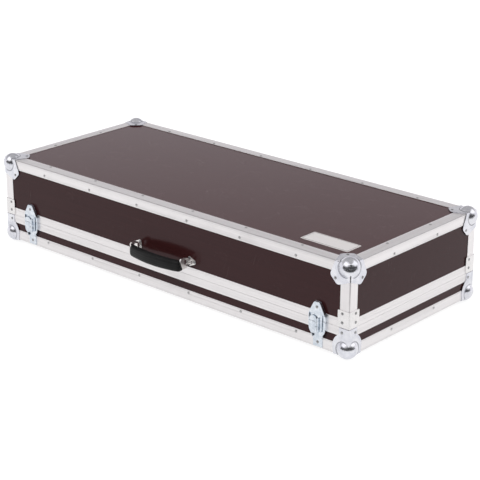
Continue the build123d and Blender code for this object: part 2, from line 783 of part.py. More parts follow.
KEEPER = [
    (-22.0, SEAM + 0.5), (22.0, SEAM + 0.5), (22.0, 72.0), (19.5, 79.5),
    (9.0, 99.0), (6.0, 101.5), (-6.0, 101.5), (-9.0, 99.0), (-19.5, 79.5),
    (-22.0, 72.0),
]
PAD = [
    (-21.2, 74.5), (21.2, 74.5), (19.3, 79.4), (8.8, 98.8), (5.8, 101.3),
    (-5.8, 101.3), (-8.8, 98.8), (-19.3, 79.4),
]
BODY = [
    (-11.7, 2.5), (11.7, 2.5), (12.0, 23.0), (15.5, 31.0), (19.5, 36.5),
    (21.8, 45.0), (22.0, SEAM - 0.5), (-22.0, SEAM - 0.5), (-21.8, 45.0),
    (-19.5, 36.5), (-15.5, 31.0), (-12.0, 23.0),
]
RIM_OUT = 5.0


def keeper(cx):
    """Lid half of a latch: plate, side rims, the lip and a raised pad.

    The pad is hollow below, so that the hook can slide up under it."""
    extrude(tub_outline(FRONT, cx, 0, KEEPER), amount=SKIN)
    extrude(tub_outline(FRONT, cx, 0, PAD), amount=PAD_OUT)
    part = BuildPart._get_context("keeper").part
    front = min(part.faces(), key=lambda f: f.center().Y)
    fillet(front.edges(), 1.1)
    with BuildSketch(FRONT.offset(SKIN)) as hollow:
        with Locations((cx, Z0 + 80.0)):
            Rectangle(26.0, 14.0)
    extrude(hollow.sketch, amount=PAD_OUT - 1.0 - SKIN, mode=Mode.SUBTRACT)
    for s in (-1, 1):
        rim = [(s * 22.0, SEAM + 0.5), (s * 22.0, 72.0), (s * 21.1, 74.8),
               (s * 19.6, 74.8), (s * 20.4, 71.8), (s * 20.4, SEAM + 0.5)]
        extrude(tub_outline(FRONT, cx, 0, rim), amount=RIM_OUT)
    lip = [(-14, 69.5), (14, 69.5), (14, 72.5), (-14, 72.5)]
    extrude(tub_outline(FRONT.offset(SKIN), cx, 0, lip), amount=0.25)
    with BuildSketch(FRONT.offset(10)) as hole:
        with Locations((cx, latch_points[0][1])):
            Circle(RIVET_HOLE_R)
    extrude(hole.sketch, amount=-14, mode=Mode.SUBTRACT)


def body_plate(cx):
    """Base half of a latch: tapered plate, rims, and a bearing bore."""
    extrude(tub_outline(FRONT, cx, 0, BODY), amount=SKIN)
    for s in (-1, 1):
        rim = [(s * 22.0, SEAM - 0.5), (s * 21.8, 45.0), (s * 19.5, 36.5),
               (s * 15.5, 31.0), (s * 12.0, 23.0), (s * 10.5, 23.4),
               (s * 14.1, 31.8), (s * 18.1, 37.2), (s * 20.2, 45.2),
               (s * 20.4, SEAM - 0.5)]
        extrude(tub_outline(FRONT, cx, 0, rim), amount=RIM_OUT)
    with BuildSketch(FRONT) as bore:
        with Locations((cx, SPINDLE_Z)):
            Circle(3.05)
    extrude(bore.sketch, amount=5, both=True, mode=Mode.SUBTRACT)
    drill("front", 8.0, {"front": base_hw_points["front"]})


def rotor(cx):
    """Spindle: stem in the plate, cam disc, head with the wing's two lugs."""
    c = (cx, SPINDLE_Z)
    with BuildSketch(FRONT.offset(0.15)) as stem:
        with Locations(c):
            Circle(3.0)
    extrude(stem.sketch, amount=1.85)
    with BuildSketch(FRONT.offset(SKIN + 0.2)) as disc:
        with Locations(c):
            Circle(6.4)
    extrude(disc.sketch, amount=3.2)
    with BuildSketch(FRONT.offset(SKIN + 3.4)) as head:
        with Locations((cx, SPINDLE_Z + 4.4), (cx, SPINDLE_Z - 4.4)):
            Rectangle(4.4, 2.4)
    extrude(head.sketch, amount=BLADE_ROOT + 1.5 - SKIN - 3.4)
    # a finger bar beside the folded wing
    with BuildSketch(FRONT.offset(SKIN + 3.4)) as bar:
        with Locations((cx + 4.1, SPINDLE_Z)):
            RectangleRounded(2.6, 33.0, 1.2)
    extrude(bar.sketch, amount=3.0)
    with BuildSketch(Plane.XY.offset(SPINDLE_Z - 6.2)) as pin_hole:
        with Locations((cx, YF - BLADE_ROOT)):
            Circle(0.85)
    extrude(pin_hole.sketch, amount=12.4, mode=Mode.SUBTRACT)


def wing(cx):
    """The folding key: two lobes on a barrel and its pin, folded flat."""
    z = SPINDLE_Z
    with BuildSketch(FRONT.offset(BLADE_ROOT - 0.9)) as flap:
        with BuildLine():
            Spline(
                (cx - 0.2, z - 14.0), (cx - 6.0, z - BLADE_HALF + 1.0),
                (cx - 13.5, z - BLADE_HALF + 1.4), (cx - 18.3, z - 11.0),
                (cx - 18.9, z - 3.0), (cx - 18.4, z + 7.0),
                (cx - 18.3, z + 12.0), (cx - 13.5, z + BLADE_HALF - 1.0),
                (cx - 6.0, z + BLADE_HALF - 0.6), (cx - 0.2, z + 14.0),
            )
            Line((cx - 0.2, z + 14.0), (cx - 0.2, z - 14.0))
        make_face()
        with Locations((cx - 11.5, z + 7.2)):
            Rectangle(17.0, 1.0, mode=Mode.SUBTRACT)
    extrude(flap.sketch, amount=1.8)
    for zc in (z - 10.0, z, z + 10.0):
        # clear of the two lugs: barrels lie between and outside them
        half = 2.9 if abs(zc - z) < 1 else 4.0
        lo = zc - half
        if zc > z:
            lo, half = z + 6.0, 4.0
        elif zc < z:
            lo, half = z - 14.0, 4.0
        with BuildSketch(Plane.XY.offset(lo)) as barrel:
            with Locations((cx, YF - BLADE_ROOT)):
                Circle(1.3)
        extrude(barrel.sketch, amount=2 * half)
    # relief round the lugs
    for s in (-1, 1):
        with BuildSketch(Plane.YZ.offset(cx - 3.1)) as gap:
            with Locations((YF - BLADE_ROOT, z + s * 4.4)):
                Rectangle(5.0, 3.0)
        extrude(gap.sketch, amount=6.2, mode=Mode.SUBTRACT)
    with BuildSketch(Plane.XY.offset(z - 8.0)) as pin:
        with Locations((cx, YF - BLADE_ROOT)):
            Circle(0.8)
    extrude(pin.sketch, amount=16.0)


def hook(cx):
    """The sliding claw plate that the cam drives, slotted round the spindle."""
    with BuildSketch(FRONT.offset(2.5)) as plate:
        with BuildLine():
            Polyline(
                *[(cx + x, Z0 + zz) for x, zz in (
                    (-11, 36.5), (11, 36.5), (12, 58), (12, 74), (9.5, 78.0),
                    (-9.5, 78.0), (-12, 74), (-12, 58))],
                close=True,
            )
        make_face()
        fillet(plate.vertices(), 1.5)
        with Locations((cx, SPINDLE_Z - HOOK_STROKE / 2)):
            SlotCenterToCenter(HOOK_STROKE, 13.6, rotation=90, mode=Mode.SUBTRACT)
    extrude(plate.sketch, amount=1.8)
    with BuildSketch(FRONT.offset(2.05)) as nose:
        with Locations((cx, Z0 + 75.6)):
            Rectangle(17, 2.4)
    extrude(nose.sketch, amount=0.5)
    with BuildSketch(FRONT.offset(4.3)) as bead:
        with Locations((cx, Z0 + 66.0)):
            RectangleRounded(15, 3.0, 1.4)
    extrude(bead.sketch, amount=0.35)


with BuildPart() as latch_left_keeper:
    keeper(LATCH_LEFT)
with BuildPart() as latch_right_keeper:
    keeper(LATCH_RIGHT)
with BuildPart() as latch_left_plate:
    body_plate(LATCH_LEFT)
with BuildPart() as latch_right_plate:
    body_plate(LATCH_RIGHT)
with BuildPart() as latch_left_rotor:
    rotor(LATCH_LEFT)
with BuildPart() as latch_right_rotor:
    rotor(LATCH_RIGHT)
with BuildPart() as latch_left_wing:
    wing(LATCH_LEFT)
with BuildPart() as latch_right_wing:
    wing(LATCH_RIGHT)
with BuildPart() as latch_left_hook:
    hook(LATCH_LEFT)
with BuildPart() as latch_right_hook:
    hook(LATCH_RIGHT)


# ---- rear hinges -----------------------------------------------------------------------
HINGE_Y = YR + HINGE_OUT
LEAF_HALF, LEAF_TALL = 34.0, 40.0
KNUCKLES = [-34.0, -20.4, -6.8, 6.8, 20.4, 34.0]   # edges of five knuckles


def leaf(cx, up):
    """One leaf: a plate notched round the other leaf's knuckles."""
    mine = (0, 2, 4) if up < 0 else (1, 3)
    far = ZS + up * LEAF_TALL
    near = ZS + up * 5.0
    with BuildSketch(BACK) as plate:
        with BuildLine():
            Polyline(
                (-cx - LEAF_HALF, near), (-cx + LEAF_HALF, near),
                (-cx + LEAF_HALF, far - up * 12), (-cx + LEAF_HALF - 14, far),
                (-cx - LEAF_HALF + 14, far), (-cx - LEAF_HALF, far - up * 12),
                close=True,
            )
        make_face()
    extrude(plate.sketch, amount=SKIN)
    for k in mine:
        x0, x1 = KNUCKLES[k] + 0.15, KNUCKLES[k + 1] - 0.15
        bore = PIN_R + (0.02 if up < 0 else 0.06)
        with BuildSketch(Plane.YZ.offset(cx + x0)) as tube:
            with Locations((HINGE_Y, ZS)):
                Circle(KNUCKLE_R)
            # web from the plate to the tube
            with Locations((YR + 0.85 + 0.9, ZS + up * 3.3)):
                Rectangle(1.8, 4.4)
            with Locations((HINGE_Y, ZS)):
                Circle(bore, mode=Mode.SUBTRACT)
        extrude(tube.sketch, amount=x1 - x0)
    drill("back", 8.0, {"back": (lid_hw_points if up > 0 else base_hw_points)["back"]})


with BuildPart() as hinge_left_lid_leaf:
    leaf(-HINGE_X, 1)
with BuildPart() as hinge_right_lid_leaf:
    leaf(HINGE_X, 1)
with BuildPart() as hinge_left_base_leaf:
    leaf(-HINGE_X, -1)
with BuildPart() as hinge_right_base_leaf:
    leaf(HINGE_X, -1)

with BuildPart() as hinge_pins:
    for s in (-1, 1):
        with BuildSketch(Plane.YZ.offset(s * HINGE_X - LEAF_HALF)) as pin:
            with Locations((HINGE_Y, ZS)):
                Circle(PIN_R)
        extrude(pin.sketch, amount=2 * LEAF_HALF)


# ---- labels and files ----------------------------------------------------
lid_top_panel.part.label = "lid_top_panel"
export_step(lid_top_panel.part, "parts/lid_top_panel.step")
lid_front_panel.part.label = "lid_front_panel"
export_step(lid_front_panel.part, "parts/lid_front_panel.step")
lid_back_panel.part.label = "lid_back_panel"
export_step(lid_back_panel.part, "parts/lid_back_panel.step")
lid_left_panel.part.label = "lid_left_panel"
export_step(lid_left_panel.part, "parts/lid_left_panel.step")
lid_right_panel.part.label = "lid_right_panel"
export_step(lid_right_panel.part, "parts/lid_right_panel.step")
lid_edge_front.part.label = "lid_edge_front"
export_step(lid_edge_front.part, "parts/lid_edge_front.step")
lid_edge_back.part.label = "lid_edge_back"
export_step(lid_edge_back.part, "parts/lid_edge_back.step")
lid_edge_left.part.label = "lid_edge_left"
export_step(lid_edge_left.part, "parts/lid_edge_left.step")
lid_edge_right.part.label = "lid_edge_right"
export_step(lid_edge_right.part, "parts/lid_edge_right.step")
lid_corner_edges.part.label = "lid_corner_edges"
export_step(lid_corner_edges.part, "parts/lid_corner_edges.step")
lid_closure_front.part.label = "lid_closure_front"
export_step(lid_closure_front.part, "parts/lid_closure_front.step")
lid_closure_back.part.label = "lid_closure_back"
export_step(lid_closure_back.part, "parts/lid_closure_back.step")
lid_closure_left.part.label = "lid_closure_left"
export_step(lid_closure_left.part, "parts/lid_closure_left.step")
lid_closure_right.part.label = "lid_closure_right"
export_step(lid_closure_right.part, "parts/lid_closure_right.step")
lid_ball_corners.part.label = "lid_ball_corners"
export_step(lid_ball_corners.part, "parts/lid_ball_corners.step")
lid_corner_braces.part.label = "lid_corner_braces"
export_step(lid_corner_braces.part, "parts/lid_corner_braces.step")
lid_foam_top.part.label = "lid_foam_top"
export_step(lid_foam_top.part, "parts/lid_foam_top.step")
lid_foam_sides.part.label = "lid_foam_sides"
export_step(lid_foam_sides.part, "parts/lid_foam_sides.step")
lid_edge_rivets.part.label = "lid_edge_rivets"
export_step(lid_edge_rivets.part, "parts/lid_edge_rivets.step")
lid_hardware_rivets.part.label = "lid_hardware_rivets"
export_step(lid_hardware_rivets.part, "parts/lid_hardware_rivets.step")
badge_plate.part.label = "badge_plate"
export_step(badge_plate.part, "parts/badge_plate.step")
handle_bracket_left.part.label = "handle_bracket_left"
export_step(handle_bracket_left.part, "parts/handle_bracket_left.step")
handle_bracket_right.part.label = "handle_bracket_right"
export_step(handle_bracket_right.part, "parts/handle_bracket_right.step")
latch_left_keeper.part.label = "latch_left_keeper"
export_step(latch_left_keeper.part, "parts/latch_left_keeper.step")
latch_right_keeper.part.label = "latch_right_keeper"
export_step(latch_right_keeper.part, "parts/latch_right_keeper.step")
hinge_left_lid_leaf.part.label = "hinge_left_lid_leaf"
export_step(hinge_left_lid_leaf.part, "parts/hinge_left_lid_leaf.step")
hinge_right_lid_leaf.part.label = "hinge_right_lid_leaf"
export_step(hinge_right_lid_leaf.part, "parts/hinge_right_lid_leaf.step")
base_bottom_panel.part.label = "base_bottom_panel"
export_step(base_bottom_panel.part, "parts/base_bottom_panel.step")
base_front_panel.part.label = "base_front_panel"
export_step(base_front_panel.part, "parts/base_front_panel.step")
base_back_panel.part.label = "base_back_panel"
export_step(base_back_panel.part, "parts/base_back_panel.step")
base_left_panel.part.label = "base_left_panel"
export_step(base_left_panel.part, "parts/base_left_panel.step")
base_right_panel.part.label = "base_right_panel"
export_step(base_right_panel.part, "parts/base_right_panel.step")
base_edge_front.part.label = "base_edge_front"
export_step(base_edge_front.part, "parts/base_edge_front.step")
base_edge_back.part.label = "base_edge_back"
export_step(base_edge_back.part, "parts/base_edge_back.step")
base_edge_left.part.label = "base_edge_left"
export_step(base_edge_left.part, "parts/base_edge_left.step")
base_edge_right.part.label = "base_edge_right"
export_step(base_edge_right.part, "parts/base_edge_right.step")
base_corner_edges.part.label = "base_corner_edges"
export_step(base_corner_edges.part, "parts/base_corner_edges.step")
base_closure_front.part.label = "base_closure_front"
export_step(base_closure_front.part, "parts/base_closure_front.step")
base_closure_back.part.label = "base_closure_back"
export_step(base_closure_back.part, "parts/base_closure_back.step")
base_closure_left.part.label = "base_closure_left"
export_step(base_closure_left.part, "parts/base_closure_left.step")
base_closure_right.part.label = "base_closure_right"
export_step(base_closure_right.part, "parts/base_closure_right.step")
base_ball_corners.part.label = "base_ball_corners"
export_step(base_ball_corners.part, "parts/base_ball_corners.step")
base_foam_floor.part.label = "base_foam_floor"
export_step(base_foam_floor.part, "parts/base_foam_floor.step")
base_foam_sides.part.label = "base_foam_sides"
export_step(base_foam_sides.part, "parts/base_foam_sides.step")
base_edge_rivets.part.label = "base_edge_rivets"
export_step(base_edge_rivets.part, "parts/base_edge_rivets.step")
base_hardware_rivets.part.label = "base_hardware_rivets"
export_step(base_hardware_rivets.part, "parts/base_hardware_rivets.step")
latch_left_plate.part.label = "latch_left_plate"
export_step(latch_left_plate.part, "parts/latch_left_plate.step")
latch_right_plate.part.label = "latch_right_plate"
export_step(latch_right_plate.part, "parts/latch_right_plate.step")
hinge_left_base_leaf.part.label = "hinge_left_base_leaf"
export_step(hinge_left_base_leaf.part, "parts/hinge_left_base_leaf.step")
hinge_right_base_leaf.part.label = "hinge_right_base_leaf"
export_step(hinge_right_base_leaf.part, "parts/hinge_right_base_leaf.step")
hinge_pins.part.label = "hinge_pins"
export_step(hinge_pins.part, "parts/hinge_pins.step")
handle_grip.part.label = "handle_grip"
export_step(handle_grip.part, "parts/handle_grip.step")
handle_loops.part.label = "handle_loops"
export_step(handle_loops.part, "parts/handle_loops.step")
latch_left_rotor.part.label = "latch_left_rotor"
export_step(latch_left_rotor.part, "parts/latch_left_rotor.step")
latch_left_wing.part.label = "latch_left_wing"
export_step(latch_left_wing.part, "parts/latch_left_wing.step")
latch_left_hook.part.label = "latch_left_hook"
export_step(latch_left_hook.part, "parts/latch_left_hook.step")
latch_right_rotor.part.label = "latch_right_rotor"
export_step(latch_right_rotor.part, "parts/latch_right_rotor.step")
latch_right_wing.part.label = "latch_right_wing"
export_step(latch_right_wing.part, "parts/latch_right_wing.step")
latch_right_hook.part.label = "latch_right_hook"
export_step(latch_right_hook.part, "parts/latch_right_hook.step")
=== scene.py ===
import math

import bmesh
import bpy
from mathutils import Matrix, Vector


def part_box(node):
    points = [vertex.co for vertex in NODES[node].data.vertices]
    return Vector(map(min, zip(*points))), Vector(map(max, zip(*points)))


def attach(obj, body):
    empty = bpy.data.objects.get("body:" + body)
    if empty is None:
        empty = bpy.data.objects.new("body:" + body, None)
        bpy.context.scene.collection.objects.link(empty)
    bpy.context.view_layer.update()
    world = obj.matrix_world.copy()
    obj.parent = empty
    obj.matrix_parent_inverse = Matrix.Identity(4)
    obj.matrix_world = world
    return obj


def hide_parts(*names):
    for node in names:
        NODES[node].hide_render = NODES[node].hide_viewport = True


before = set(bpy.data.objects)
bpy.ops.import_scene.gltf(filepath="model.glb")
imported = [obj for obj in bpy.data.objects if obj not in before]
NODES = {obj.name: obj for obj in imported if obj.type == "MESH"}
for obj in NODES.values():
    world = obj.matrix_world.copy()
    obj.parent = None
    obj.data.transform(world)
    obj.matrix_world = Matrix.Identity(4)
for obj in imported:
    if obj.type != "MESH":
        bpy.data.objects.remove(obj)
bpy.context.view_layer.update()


# ---- measures read from the frame, in metres ---------------------------------

low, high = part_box("lid_closure_front")
X_HALF = high.x
Y_FRONT = low.y
Y_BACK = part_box("lid_closure_back")[1].y
Y_MID = (Y_FRONT + Y_BACK) / 2
Y_HALF = (Y_BACK - Y_FRONT) / 2
Z_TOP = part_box("lid_edge_front")[1].z
Z_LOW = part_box("base_edge_front")[0].z
Z_SEAM = low.z


# ---- node graphs -------------------------------------------------------------

class Graph:
    """A material of one Principled shader, built from small node helpers."""

    def __init__(self, name):
        self.material = bpy.data.materials.new(name)
        self.material.use_nodes = True
        self.tree = self.material.node_tree
        self.tree.nodes.clear()
        out = self.tree.nodes.new("ShaderNodeOutputMaterial")
        self.shader = self.tree.nodes.new("ShaderNodeBsdfPrincipled")
        self.tree.links.new(self.shader.outputs[0], out.inputs[0])
        place = self.tree.nodes.new("ShaderNodeTexCoord")
        self.at = place.outputs["Object"]
        self._split = None

    def _in(self, socket, value):
        if isinstance(value, bpy.types.NodeSocket):
            self.tree.links.new(value, socket)
        else:
            socket.default_value = value

    def set(self, **values):
        for name, value in values.items():
            self._in(self.shader.inputs[name.replace("_", " ")], value)

    def axis(self, i):
        if self._split is None:
            self._split = self.tree.nodes.new("ShaderNodeSeparateXYZ")
            self._in(self._split.inputs[0], self.at)
        return self._split.outputs[i]

    def math(self, op, a, b=0.0, c=0.0, clamp=False):
        n = self.tree.nodes.new("ShaderNodeMath")
        n.operation = op
        n.use_clamp = clamp
        self._in(n.inputs[0], a)
        if len(n.inputs) > 1:
            self._in(n.inputs[1], b)
        if len(n.inputs) > 2:
            self._in(n.inputs[2], c)
        return n.outputs[0]

    def vec(self, op, a, b):
        n = self.tree.nodes.new("ShaderNodeVectorMath")
        n.operation = op
        self._in(n.inputs[0], a)
        self._in(n.inputs[1], b)
        return n.outputs[0]

    def turned(self, angles):
        n = self.tree.nodes.new("ShaderNodeVectorRotate")
        n.rotation_type = "EULER_XYZ"
        self._in(n.inputs["Vector"], self.at)
        n.inputs["Rotation"].default_value = angles
        return n.outputs[0]

    def noise(self, scale, detail=3.0, rough=0.55, at=None, twist=0.0, colour=False):
        """Noise on object coordinates times scale, which is per metre on each axis."""
        if not hasattr(scale, "__len__"):
            scale = (scale,) * 3
        n = self.tree.nodes.new("ShaderNodeTexNoise")
        self._in(n.inputs["Vector"], self.vec("MULTIPLY", at or self.at, scale))
        n.inputs["Scale"].default_value = 1.0
        n.inputs["Detail"].default_value = detail
        n.inputs["Roughness"].default_value = rough
        n.inputs["Distortion"].default_value = twist
        return n.outputs["Color" if colour else "Fac"]

    def cells(self, scale, feature="F1", at=None, spread=1.0, out="Distance"):
        if not hasattr(scale, "__len__"):
            scale = (scale,) * 3
        n = self.tree.nodes.new("ShaderNodeTexVoronoi")
        n.feature = feature
        self._in(n.inputs["Vector"], self.vec("MULTIPLY", at or self.at, scale))
        n.inputs["Scale"].default_value = 1.0
        n.inputs["Randomness"].default_value = spread
        return n.outputs[out]

    def span(self, value, a, b, to_a=0.0, to_b=1.0, smooth=True):
        n = self.tree.nodes.new("ShaderNodeMapRange")
        n.interpolation_type = "SMOOTHSTEP" if smooth else "LINEAR"
        self._in(n.inputs["Value"], value)
        n.inputs["From Min"].default_value = a
        n.inputs["From Max"].default_value = b
        n.inputs["To Min"].default_value = to_a
        n.inputs["To Max"].default_value = to_b
        return n.outputs[0]

    def mix(self, fac, a, b, how="MIX"):
        n = self.tree.nodes.new("ShaderNodeMix")
        n.data_type = "RGBA"
        n.blend_type = how
        n.clamp_factor = True
        self._in(n.inputs["Factor"], fac)
        self._in(n.inputs["A"] if False else n.inputs[6], a if not isinstance(a, tuple) else (*a, 1.0)[:4])
        self._in(n.inputs[7], b if not isinstance(b, tuple) else (*b, 1.0)[:4])
        return n.outputs[2]

    def bump(self, height, distance, strength=1.0, under=None):
        n = self.tree.nodes.new("ShaderNodeBump")
        n.inputs["Strength"].default_value = strength
        n.inputs["Distance"].default_value = distance
        self._in(n.inputs["Height"], height)
        if under is not None:
            self._in(n.inputs["Normal"], under)
        return n.outputs[0]

    # shapes on the case ------------------------------------------------------

    def from_faces(self):
        """Distances in from the case's side, front or back, and top or bottom."""
        a = self.math("SUBTRACT", X_HALF, self.math("ABSOLUTE", self.axis(0)))
        y = self.math("SUBTRACT", self.axis(1), Y_MID)
        b = self.math("SUBTRACT", Y_HALF, self.math("ABSOLUTE", y))
        c = self.math(
            "MINIMUM",
            self.math("SUBTRACT", Z_TOP, self.axis(2)),
            self.math("SUBTRACT", self.axis(2), Z_LOW),
        )
        return a, b, c

    def from_arris(self):
        """On the case's outside, the distance from the nearest outer arris."""
        a, b, c = self.from_faces()
        return self.math(
            "MAXIMUM", self.math("MINIMUM", a, b),
            self.math("MINIMUM", self.math("MAXIMUM", a, b), c),
        )

    def line(self, value, at, half, soft):
        """1 on a line where value is near at, and 0 away from it."""
        d = self.math("ABSOLUTE", self.math("SUBTRACT", value, at))
        return self.span(d, half + soft, half)

    def scratches(self, length, width, share, angles=(0.0, 0.0, 0.6), seed=0.0):
        """Thin, long, slightly curved marks, only some of them showing."""
        at = self.turned(angles)
        at = self.vec("ADD", at, (seed, seed * 0.7, seed * 1.3))
        lines = self.noise((1 / length, 1 / width, 1 / length), 1.0, 0.4, at=at)
        thin = self.span(self.math("ABSOLUTE", self.math("SUBTRACT", lines, 0.5)), 0.012, 0.0)
        where = self.noise(3.2 / length, 2.0, 0.5, at=at)
        return self.math("MULTIPLY", thin, self.span(where, 0.62 - share, 0.66 - share))


def laminate():
    """Brown phenolic film on birch ply: smooth, semi-gloss, faint grain beneath."""
    g = Graph("brown_laminate")
    grain = g.noise((5, 190, 190), 4.0, 0.6, twist=0.25)
    fine = g.noise((30, 1400, 1400), 3.0, 0.6)
    cloud = g.noise(4.5, 3.0, 0.5)
    colour = g.mix(g.span(grain, 0.35, 0.68), (0.0360, 0.0100, 0.0102), (0.0405, 0.0115, 0.0115))
    colour = g.mix(g.math("MULTIPLY", g.span(cloud, 0.35, 0.65), 0.4), colour, (0.0385, 0.0115, 0.0120))
    marks = g.math(
        "ADD",
        g.scratches(0.16, 0.0016, 0.03, (0.2, 0.1, 0.5), 0.3),
        g.scratches(0.10, 0.0012, 0.02, (0.1, 0.9, -0.8), 1.9),
        clamp=True,
    )
    colour = g.mix(g.math("MULTIPLY", marks, 0.25), colour, (0.075, 0.050, 0.048))
    rough = g.math("ADD", 0.115, g.math("MULTIPLY", g.noise(26, 4.0, 0.6), 0.05))
    rough = g.math("ADD", rough, g.math("MULTIPLY", marks, 0.14))
    rough = g.math("ADD", rough, g.math("MULTIPLY", g.span(fine, 0.4, 0.7), 0.02))
    peel = g.noise(420, 2.0, 0.5)
    normal = g.bump(peel, 0.00003, 0.25)
    normal = g.bump(grain, 0.00006, 0.15, normal)
    normal = g.bump(g.math("SUBTRACT", 1.0, marks), 0.00004, 0.5, normal)
    g.set(Base_Color=colour, Roughness=rough, Normal=normal, Metallic=0.0)
    g.shader.inputs["IOR"].default_value = 1.47
    g.shader.inputs["Specular IOR Level"].default_value = 0.22
    g.set(Specular_Tint=(1.0, 0.93, 0.985, 1.0))
    # a violet bloom on the film at grazing angles
    g.set(Sheen_Weight=0.055, Sheen_Roughness=0.30, Sheen_Tint=(0.80, 0.55, 1.0, 1.0))
    return g.material


def edging(axis, lips=None):
    """Satin extruded aluminium with die lines along the axis.

    lips is how wide a flange is on the top or bottom and on the sides."""
    g = Graph("edging_" + "xyz"[axis])
    along = [2100.0] * 3
    along[axis] = 5.0
    broad = [420.0] * 3
    broad[axis] = 2.2
    lines = g.noise(along, 2.0, 0.6)
    bands = g.noise(broad, 3.0, 0.6)
    cloud = g.noise(14, 4.0, 0.6)
    colour = g.mix(g.span(bands, 0.3, 0.7), (0.800, 0.778, 0.782), (0.852, 0.830, 0.834))
    colour = g.mix(g.math("MULTIPLY", g.span(lines, 0.45, 0.8), 0.18), colour, (0.700, 0.690, 0.694))
    colour = g.mix(g.math("MULTIPLY", g.span(cloud, 0.52, 0.75), 0.18), colour, (0.730, 0.710, 0.708))
    rough = g.math("ADD", 0.30, g.math("MULTIPLY", bands, 0.10))
    rough = g.math("ADD", rough, g.math("MULTIPLY", g.span(cloud, 0.45, 0.75), 0.08))
    marks = g.math(
        "ADD",
        g.scratches(0.05, 0.0009, 0.05, (0.3, 0.2, 0.9), 0.7),
        g.scratches(0.03, 0.0007, 0.05, (0.9, -0.4, -0.5), 2.3),
        clamp=True,
    )
    colour = g.mix(g.math("MULTIPLY", marks, 0.30), colour, (0.50, 0.50, 0.50))
    normal = g.bump(lines, 0.00003, 0.35)
    normal = g.bump(bands, 0.00008, 0.25, normal)
    normal = g.bump(g.math("SUBTRACT", 1.0, marks), 0.00003, 0.4, normal)
    if lips is not None:
        u = g.from_arris()
        groove = g.line(u, 0.0042, 0.00022, 0.00030)
        _, b, c = g.from_faces()
        side = g.math("GREATER_THAN", c, b) if axis == 0 else g.math("GREATER_THAN", c, g.from_faces()[0])
        wide = g.math("ADD", lips[0], g.math("MULTIPLY", side, lips[1] - lips[0]))
        from_lip = g.math("SUBTRACT", wide, u)
        step = g.line(from_lip, 0.0024, 0.00020, 0.00035)
        # a painted highlight along the lip, and painted shade in the two grooves
        lip = g.span(from_lip, 0.0022, 0.0012)
        colour = g.mix(g.math("MULTIPLY", lip, 0.30), colour, (0.900, 0.885, 0.888))
        # painted shade: the two grooves are painted darker
        colour = g.mix(g.math("MULTIPLY", g.math("ADD", groove, step, clamp=True), 0.28), colour, (0.50, 0.49, 0.49))
        # the rounded arris is painted darker, painted shade that dims the highlight it catches, and it is made
        # rougher
        arris = g.span(u, 0.0022, 0.0010)
        colour = g.mix(g.math("MULTIPLY", arris, 0.70), colour, (0.46, 0.455, 0.46))
        rough = g.math("ADD", rough, g.math("MULTIPLY", arris, 0.20))
        # the last millimetre in from the lip is darker and a little warmer
        lip_edge_darker = g.math("MULTIPLY", g.span(from_lip, 0.0010, 0.0), 0.25)
        colour = g.mix(lip_edge_darker, colour, (0.50, 0.47, 0.45))
        profile = g.math("SUBTRACT", 1.0, g.math("ADD", groove, step, clamp=True))
        normal = g.bump(profile, 0.00035, 0.8, normal)
    g.set(Base_Color=colour, Roughness=rough, Normal=normal)
    g.shader.inputs["Metallic"].default_value = 1.0
    return g.material


def plated(name, pale, dark, rough=0.22, spangle=60, brush=None, worn=(0.55, 0.54, 0.53), ball=None):
    """Bright zinc or nickel plate on pressed steel: clouded, finely scuffed."""
    g = Graph(name)
    cloud = g.noise(spangle, 5.0, 0.62, twist=0.4)
    big = g.noise(spangle / 4, 3.0, 0.5)
    colour = g.mix(g.span(cloud, 0.32, 0.70), dark, pale)
    colour = g.mix(g.math("MULTIPLY", g.span(big, 0.45, 0.7), 0.35), colour, worn)
    if ball is not None:
        # painted shade lies in the crease where the ball, of radius ball[1], leaves the plates
        a, b, c = g.from_faces()
        squares = [g.math("POWER", g.math("SUBTRACT", d, ball[0]), 2.0) for d in (a, b, c)]
        far = g.math("SQRT", g.math("ADD", g.math("ADD", squares[0], squares[1]), squares[2]))
        crease = g.math(
            "MULTIPLY", g.span(far, ball[1] + 0.00004, ball[1] + 0.0004),
            g.span(far, ball[1] + 0.0027, ball[1] + 0.0010),
        )
        crease = g.math("MULTIPLY", crease, g.span(g.math("MAXIMUM", a, b), 0.003, 0.011, 0.1, 1.0))
        patchy = g.math("ADD", 0.45, g.math("MULTIPLY", g.noise(160, 3.0, 0.6), 0.5))
        colour = g.mix(g.math("MULTIPLY", crease, patchy), colour, (0.16, 0.165, 0.19))
    fine = g.noise((brush or (900, 900, 900)), 3.0, 0.6)
    r = g.math("ADD", rough - 0.05, g.math("MULTIPLY", cloud, 0.14))
    r = g.math("ADD", r, g.math("MULTIPLY", g.span(fine, 0.5, 0.8), 0.06))
    marks = g.math(
        "ADD",
        g.scratches(0.022, 0.0006, 0.06, (0.5, 0.3, 0.8), 0.4),
        g.scratches(0.014, 0.0005, 0.05, (1.2, -0.6, -0.3), 3.1),
        clamp=True,
    )
    colour = g.mix(g.math("MULTIPLY", marks, 0.35), colour, dark)
    r = g.math("ADD", r, g.math("MULTIPLY", marks, 0.15))
    normal = g.bump(fine, 0.00002, 0.4)
    normal = g.bump(cloud, 0.00012, 0.22, normal)
    g.set(Base_Color=colour, Roughness=r, Normal=normal)
    g.shader.inputs["Metallic"].default_value = 1.0
    return g.material


def rivets(name, dark, pale, worn):
    """Soft aluminium rivet heads, a little greyer where the setting tool bore."""
    g = Graph(name)
    cloud = g.noise(500, 3.0, 0.6)
    big = g.noise(9, 2.0, 0.5)
    colour = g.mix(g.span(cloud, 0.3, 0.7), dark, pale)
    colour = g.mix(g.math("MULTIPLY", g.span(big, 0.4, 0.65), 0.3), colour, worn)
    r = g.math("ADD", 0.30, g.math("MULTIPLY", cloud, 0.18))
    g.set(Base_Color=colour, Roughness=r, Normal=g.bump(cloud, 0.00006, 0.4))
    g.shader.inputs["Metallic"].default_value = 1.0
    return g.material


